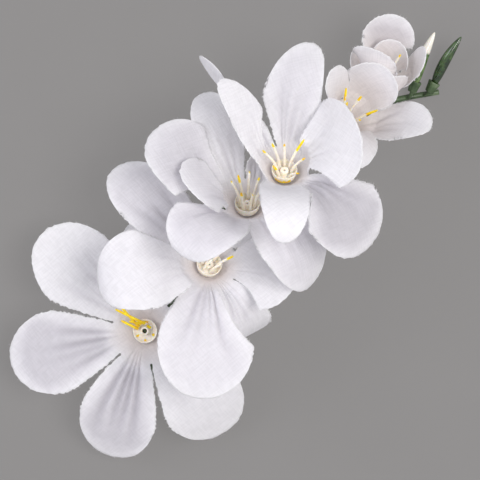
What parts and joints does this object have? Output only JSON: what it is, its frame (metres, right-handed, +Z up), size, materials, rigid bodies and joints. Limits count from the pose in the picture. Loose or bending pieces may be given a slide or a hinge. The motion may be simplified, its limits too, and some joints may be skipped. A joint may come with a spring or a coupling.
{
  "type": "freesia flower",
  "caption": "Artificial freesia spray: open white fabric blooms with yellow-tipped stamens in a row along a green plastic stem that ends in closed buds, lying on its side.",
  "frame": {"origin": "middle of the overall box at its lowest level, on the surface the spray lies on", "axes": "+X along the stem from its cut end to the buds, +Z up through the open blooms, +Y to the left of the stem"},
  "size_m": [0.1528, 0.0801, 0.0609],
  "materials": {
    "petal_fabric": "woven, matt, slightly see-through",
    "stem_plastic": "moulded, half gloss",
    "insert_plastic": "cream, tips painted yellow",
    "bud_plastic": "moulded, glossy green with a cream tip on one bud"
  },
  "bodies": {
    "root": {"stem": "stem_plastic", "calyx_1": "stem_plastic", "calyx_2": "stem_plastic", "calyx_3": "stem_plastic", "calyx_4": "stem_plastic", "calyx_5": "stem_plastic", "calyx_6": "stem_plastic", "corolla_1": "petal_fabric", "corolla_2": "petal_fabric", "corolla_3": "petal_fabric", "corolla_4": "petal_fabric", "corolla_5": "petal_fabric", "corolla_6": "petal_fabric", "insert_1": "insert_plastic", "insert_2": "insert_plastic", "insert_3": "insert_plastic", "insert_4": "insert_plastic", "insert_5": "insert_plastic", "insert_6": "insert_plastic", "bud_calyx_1": "stem_plastic", "bud_calyx_2": "stem_plastic", "bud_1": "bud_plastic", "bud_2": "bud_plastic"}
  },
  "joints": []
}
